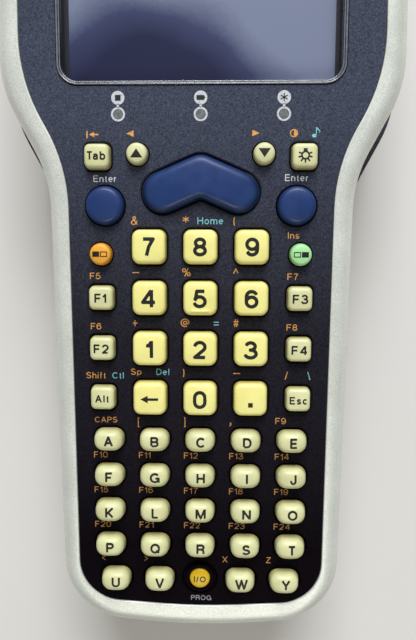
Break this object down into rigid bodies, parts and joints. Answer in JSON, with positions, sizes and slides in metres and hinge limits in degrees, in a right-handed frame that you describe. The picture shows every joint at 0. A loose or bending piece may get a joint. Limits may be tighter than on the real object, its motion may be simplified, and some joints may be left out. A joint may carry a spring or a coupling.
{
  "type": "handheld data collector",
  "caption": "Handheld keypad terminal: a waisted two-shell body with a silver rim, a display in the wide head, domed keys and a battery in the grip.",
  "frame": {"origin": "under the middle of the body, on the surface the rear feet stand on", "axes": "+Z out of the keypad face, +Y from the base towards the display head, +X to the right as the keys are read"},
  "size_m": [0.0978, 0.2249, 0.0395],
  "materials": {
    "rim_silver": "satin silver paint",
    "housing_dark": "fine texture",
    "rubber_black": "matte",
    "bezel_gloss": "gloss",
    "clear_window": "clear",
    "lcd_glass": "satin",
    "plastic_black": "matte",
    "lens_grey": "satin",
    "silicone_grey": "matte",
    "board_green": "satin",
    "tinned_steel": "satin",
    "scan_red": "gloss",
    "cell_foil": "satin",
    "contact_gold": "satin",
    "latch_grey": "satin",
    "screw_black": "blackened",
    "insert_brass": "satin",
    "key_cream": "satin",
    "key_tan": "satin",
    "key_blue": "satin",
    "key_orange": "satin",
    "key_green": "satin",
    "key_yellow": "satin"
  },
  "bodies": {
    "terminal": {"rim_bumper": "rim_silver", "front_housing": "housing_dark", "rear_housing": "housing_dark", "housing_gasket": "rubber_black", "display_bezel": "bezel_gloss", "display_window": "clear_window", "lcd_panel": "lcd_glass", "display_frame": "plastic_black", "indicator_lenses": "lens_grey", "speaker": "plastic_black", "keypad_mat": "silicone_grey", "keypad_board": "board_green", "main_board": "board_green", "board_shields": "tinned_steel", "radio_card": "board_green", "scan_engine": "plastic_black", "scan_window": "scan_red", "battery_contacts": "contact_gold", "latch_spring": "tinned_steel", "dock_connector": "plastic_black", "dock_contacts": "contact_gold", "housing_screws": "screw_black", "grip_inserts": "insert_brass", "rear_feet": "rubber_black"},
    "battery": {"battery_case": "housing_dark", "battery_cells": "cell_foil"},
    "latch": {"battery_latch": "latch_grey"},
    "key_tab": {"key_tab": "key_tan"},
    "key_backlight": {"key_backlight": "key_tan"},
    "key_up": {"key_up": "key_tan"},
    "key_down": {"key_down": "key_tan"},
    "key_scan": {"key_scan": "key_blue"},
    "key_enter_left": {"key_enter_left": "key_blue"},
    "key_enter_right": {"key_enter_right": "key_blue"},
    "key_orange_shift": {"key_orange_shift": "key_orange"},
    "key_green_shift": {"key_green_shift": "key_green"},
    "key_0": {"key_0": "key_cream"},
    "key_1": {"key_1": "key_cream"},
    "key_2": {"key_2": "key_cream"},
    "key_3": {"key_3": "key_cream"},
    "key_4": {"key_4": "key_cream"},
    "key_5": {"key_5": "key_cream"},
    "key_6": {"key_6": "key_cream"},
    "key_7": {"key_7": "key_cream"},
    "key_8": {"key_8": "key_cream"},
    "key_9": {"key_9": "key_cream"},
    "key_backspace": {"key_backspace": "key_cream"},
    "key_point": {"key_point": "key_cream"},
    "key_f1": {"key_f1": "key_tan"},
    "key_f2": {"key_f2": "key_tan"},
    "key_f3": {"key_f3": "key_tan"},
    "key_f4": {"key_f4": "key_tan"},
    "key_alt": {"key_alt": "key_tan"},
    "key_esc": {"key_esc": "key_tan"},
    "key_power": {"key_power": "key_yellow"},
    "row_a_to_e": {"keys_a_to_e": "key_tan"},
    "row_f_to_j": {"keys_f_to_j": "key_tan"},
    "row_k_to_o": {"keys_k_to_o": "key_tan"},
    "row_p_to_t": {"keys_p_to_t": "key_tan"},
    "row_u_to_y": {"keys_u_to_y": "key_tan"}
  },
  "joints": [
    {"name": "key_tab_press", "type": "slide", "parent": "terminal", "child": "key_tab", "axis": [0, 0, -1], "range_m": [0, 0.001], "stiffness_N_per_m": 700, "deforming": ["keypad_mat"]},
    {"name": "key_backlight_press", "type": "slide", "parent": "terminal", "child": "key_backlight", "axis": [0, 0, -1], "range_m": [0, 0.001], "stiffness_N_per_m": 700, "deforming": ["keypad_mat"]},
    {"name": "key_up_press", "type": "slide", "parent": "terminal", "child": "key_up", "axis": [0, 0, -1], "range_m": [0, 0.001], "stiffness_N_per_m": 700, "deforming": ["keypad_mat"]},
    {"name": "key_down_press", "type": "slide", "parent": "terminal", "child": "key_down", "axis": [0, 0, -1], "range_m": [0, 0.001], "stiffness_N_per_m": 700, "deforming": ["keypad_mat"]},
    {"name": "key_scan_press", "type": "slide", "parent": "terminal", "child": "key_scan", "axis": [0, 0, -1], "range_m": [0, 0.001], "stiffness_N_per_m": 700, "deforming": ["keypad_mat"]},
    {"name": "key_enter_left_press", "type": "slide", "parent": "terminal", "child": "key_enter_left", "axis": [0, 0, -1], "range_m": [0, 0.001], "stiffness_N_per_m": 700, "deforming": ["keypad_mat"]},
    {"name": "key_enter_right_press", "type": "slide", "parent": "terminal", "child": "key_enter_right", "axis": [0, 0, -1], "range_m": [0, 0.001], "stiffness_N_per_m": 700, "deforming": ["keypad_mat"]},
    {"name": "key_orange_shift_press", "type": "slide", "parent": "terminal", "child": "key_orange_shift", "axis": [0, 0, -1], "range_m": [0, 0.001], "stiffness_N_per_m": 700, "deforming": ["keypad_mat"]},
    {"name": "key_green_shift_press", "type": "slide", "parent": "terminal", "child": "key_green_shift", "axis": [0, 0, -1], "range_m": [0, 0.001], "stiffness_N_per_m": 700, "deforming": ["keypad_mat"]},
    {"name": "key_0_press", "type": "slide", "parent": "terminal", "child": "key_0", "axis": [0, 0, -1], "range_m": [0, 0.001], "stiffness_N_per_m": 700, "deforming": ["keypad_mat"]},
    {"name": "key_1_press", "type": "slide", "parent": "terminal", "child": "key_1", "axis": [0, 0, -1], "range_m": [0, 0.001], "stiffness_N_per_m": 700, "deforming": ["keypad_mat"]},
    {"name": "key_2_press", "type": "slide", "parent": "terminal", "child": "key_2", "axis": [0, 0, -1], "range_m": [0, 0.001], "stiffness_N_per_m": 700, "deforming": ["keypad_mat"]},
    {"name": "key_3_press", "type": "slide", "parent": "terminal", "child": "key_3", "axis": [0, 0, -1], "range_m": [0, 0.001], "stiffness_N_per_m": 700, "deforming": ["keypad_mat"]},
    {"name": "key_4_press", "type": "slide", "parent": "terminal", "child": "key_4", "axis": [0, 0, -1], "range_m": [0, 0.001], "stiffness_N_per_m": 700, "deforming": ["keypad_mat"]},
    {"name": "key_5_press", "type": "slide", "parent": "terminal", "child": "key_5", "axis": [0, 0, -1], "range_m": [0, 0.001], "stiffness_N_per_m": 700, "deforming": ["keypad_mat"]},
    {"name": "key_6_press", "type": "slide", "parent": "terminal", "child": "key_6", "axis": [0, 0, -1], "range_m": [0, 0.001], "stiffness_N_per_m": 700, "deforming": ["keypad_mat"]},
    {"name": "key_7_press", "type": "slide", "parent": "terminal", "child": "key_7", "axis": [0, 0, -1], "range_m": [0, 0.001], "stiffness_N_per_m": 700, "deforming": ["keypad_mat"]},
    {"name": "key_8_press", "type": "slide", "parent": "terminal", "child": "key_8", "axis": [0, 0, -1], "range_m": [0, 0.001], "stiffness_N_per_m": 700, "deforming": ["keypad_mat"]},
    {"name": "key_9_press", "type": "slide", "parent": "terminal", "child": "key_9", "axis": [0, 0, -1], "range_m": [0, 0.001], "stiffness_N_per_m": 700, "deforming": ["keypad_mat"]},
    {"name": "key_backspace_press", "type": "slide", "parent": "terminal", "child": "key_backspace", "axis": [0, 0, -1], "range_m": [0, 0.001], "stiffness_N_per_m": 700, "deforming": ["keypad_mat"]},
    {"name": "key_point_press", "type": "slide", "parent": "terminal", "child": "key_point", "axis": [0, 0, -1], "range_m": [0, 0.001], "stiffness_N_per_m": 700, "deforming": ["keypad_mat"]},
    {"name": "key_f1_press", "type": "slide", "parent": "terminal", "child": "key_f1", "axis": [0, 0, -1], "range_m": [0, 0.001], "stiffness_N_per_m": 700, "deforming": ["keypad_mat"]},
    {"name": "key_f2_press", "type": "slide", "parent": "terminal", "child": "key_f2", "axis": [0, 0, -1], "range_m": [0, 0.001], "stiffness_N_per_m": 700, "deforming": ["keypad_mat"]},
    {"name": "key_f3_press", "type": "slide", "parent": "terminal", "child": "key_f3", "axis": [0, 0, -1], "range_m": [0, 0.001], "stiffness_N_per_m": 700, "deforming": ["keypad_mat"]},
    {"name": "key_f4_press", "type": "slide", "parent": "terminal", "child": "key_f4", "axis": [0, 0, -1], "range_m": [0, 0.001], "stiffness_N_per_m": 700, "deforming": ["keypad_mat"]},
    {"name": "key_alt_press", "type": "slide", "parent": "terminal", "child": "key_alt", "axis": [0, 0, -1], "range_m": [0, 0.001], "stiffness_N_per_m": 700, "deforming": ["keypad_mat"]},
    {"name": "key_esc_press", "type": "slide", "parent": "terminal", "child": "key_esc", "axis": [0, 0, -1], "range_m": [0, 0.001], "stiffness_N_per_m": 700, "deforming": ["keypad_mat"]},
    {"name": "key_power_press", "type": "slide", "parent": "terminal", "child": "key_power", "axis": [0, 0, -1], "range_m": [0, 0.001], "stiffness_N_per_m": 700, "deforming": ["keypad_mat"]},
    {"name": "row_a_to_e_press", "type": "slide", "parent": "terminal", "child": "row_a_to_e", "axis": [0, 0, -1], "range_m": [0, 0.001], "stiffness_N_per_m": 3500, "deforming": ["keypad_mat"]},
    {"name": "row_f_to_j_press", "type": "slide", "parent": "terminal", "child": "row_f_to_j", "axis": [0, 0, -1], "range_m": [0, 0.001], "stiffness_N_per_m": 3500, "deforming": ["keypad_mat"]},
    {"name": "row_k_to_o_press", "type": "slide", "parent": "terminal", "child": "row_k_to_o", "axis": [0, 0, -1], "range_m": [0, 0.001], "stiffness_N_per_m": 3500, "deforming": ["keypad_mat"]},
    {"name": "row_p_to_t_press", "type": "slide", "parent": "terminal", "child": "row_p_to_t", "axis": [0, 0, -1], "range_m": [0, 0.001], "stiffness_N_per_m": 3500, "deforming": ["keypad_mat"]},
    {"name": "row_u_to_y_press", "type": "slide", "parent": "terminal", "child": "row_u_to_y", "axis": [0, 0, -1], "range_m": [0, 0.001], "stiffness_N_per_m": 3500, "deforming": ["keypad_mat"]},
    {"name": "battery_pull", "type": "slide", "parent": "terminal", "child": "battery", "axis": [0, 0, -1], "range_m": [0, 0.03]},
    {"name": "latch_slide", "type": "slide", "parent": "terminal", "child": "latch", "axis": [0, 1, 0], "range_m": [0, 0.003], "stiffness_N_per_m": 400, "deforming": ["latch_spring"]}
  ]
}
